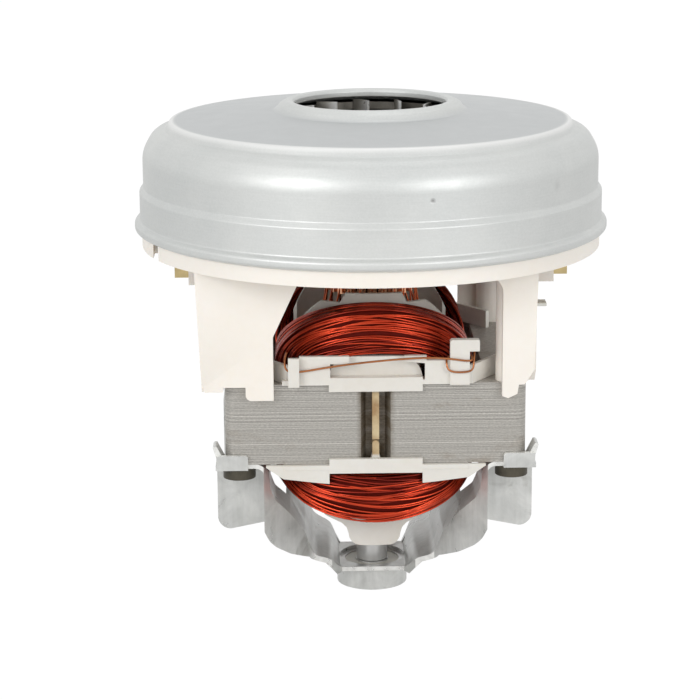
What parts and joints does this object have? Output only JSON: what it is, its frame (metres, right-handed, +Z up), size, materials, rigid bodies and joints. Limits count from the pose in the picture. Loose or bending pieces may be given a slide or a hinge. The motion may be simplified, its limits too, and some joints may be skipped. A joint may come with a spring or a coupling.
{
  "type": "vacuum cleaner fan motor",
  "caption": "Brush-type electric fan motor with a domed inlet cover over a bladed wheel, a plastic frame, a laminated stator with wound coils and a pressed lower bearing bracket.",
  "frame": {"origin": "middle of the lower bearing cup's underside, on the shaft's axis", "axes": "+Z up the shaft towards the inlet, -Y to the front field coil, +X to the right brush as the picture shows it"},
  "size_m": [0.134, 0.134, 0.1426],
  "materials": {
    "cover_steel": "bright galvanised sheet, satin",
    "bracket_steel": "galvanised pressed sheet, satin",
    "cream_plastic": "cream moulding, satin",
    "white_plastic": "off-white moulding, satin",
    "grey_plastic": "dark grey moulding, matt",
    "lamination_steel": "stacked sheet edges, faintly brown",
    "enamelled_wire": "red-brown enamel, glossy",
    "thin_lead": "thin enamelled wire",
    "copper": "turned copper",
    "brass": "drawn brass tube",
    "tinned_metal": "tinned tab",
    "carbon": "pressed carbon",
    "spring_steel": "spring wire",
    "dark_screw_steel": "oiled black",
    "bearing_steel": "ground steel",
    "seal_rubber": "moulded seal",
    "end_plate_board": "pressed board",
    "brown_moulding": "phenolic moulding",
    "fan_sheet": "rolled sheet, satin",
    "nut_steel": "zinc-plated"
  },
  "bodies": {
    "motor_frame": {"fan_cover": "cover_steel", "motor_housing": "cream_plastic", "terminal_tabs": "tinned_metal", "diffuser": "grey_plastic", "upper_bearing_outer_ring": "bearing_steel", "upper_bearing_balls": "bearing_steel", "upper_bearing_seals": "seal_rubber", "lower_bearing_outer_ring": "bearing_steel", "lower_bearing_balls": "bearing_steel", "lower_bearing_seals": "seal_rubber", "stator_core": "lamination_steel", "clamping_screws": "dark_screw_steel", "coil_core_front": "enamelled_wire", "coil_core_rear": "enamelled_wire", "field_coil_front": "enamelled_wire", "field_coil_rear": "enamelled_wire", "upper_insulator_front": "white_plastic", "lower_insulator_front": "white_plastic", "upper_insulator_rear": "white_plastic", "lower_insulator_rear": "white_plastic", "field_lead_front": "thin_lead", "field_lead_rear": "thin_lead", "brush_holder_right": "brass", "brush_holder_left": "brass", "brush_spring_right": "spring_steel", "brush_spring_left": "spring_steel", "bearing_bracket": "bracket_steel"},
    "rotor": {"shaft": "bearing_steel", "armature_core": "lamination_steel", "armature_end_plates": "end_plate_board", "armature_winding": "enamelled_wire", "commutator_hub": "brown_moulding", "commutator_bars": "copper", "shaft_spacer": "bearing_steel", "impeller_hub": "fan_sheet", "impeller_back_plate": "fan_sheet", "impeller_shroud": "fan_sheet", "impeller_blades": "fan_sheet", "fan_washer": "bearing_steel", "fan_nut": "nut_steel", "upper_bearing_inner_ring": "bearing_steel", "lower_bearing_inner_ring": "bearing_steel"},
    "brush_right": {"carbon_brush_right": "carbon"},
    "brush_left": {"carbon_brush_left": "carbon"}
  },
  "joints": [
    {"name": "rotor_spin", "type": "hinge", "parent": "motor_frame", "child": "rotor", "pos_m": [0, 0, 0.0588], "axis": [0, 0, 1], "continuous": true},
    {"name": "brush_slide_right", "type": "slide", "parent": "motor_frame", "child": "brush_right", "axis": [1, 0, 0], "range_m": [0, 0.004], "stiffness_N_per_m": 60, "springref_m": -0.02, "deforming": ["brush_spring_right"]},
    {"name": "brush_slide_left", "type": "slide", "parent": "motor_frame", "child": "brush_left", "axis": [-1, 0, 0], "range_m": [0, 0.004], "stiffness_N_per_m": 60, "springref_m": -0.02, "deforming": ["brush_spring_left"]}
  ]
}
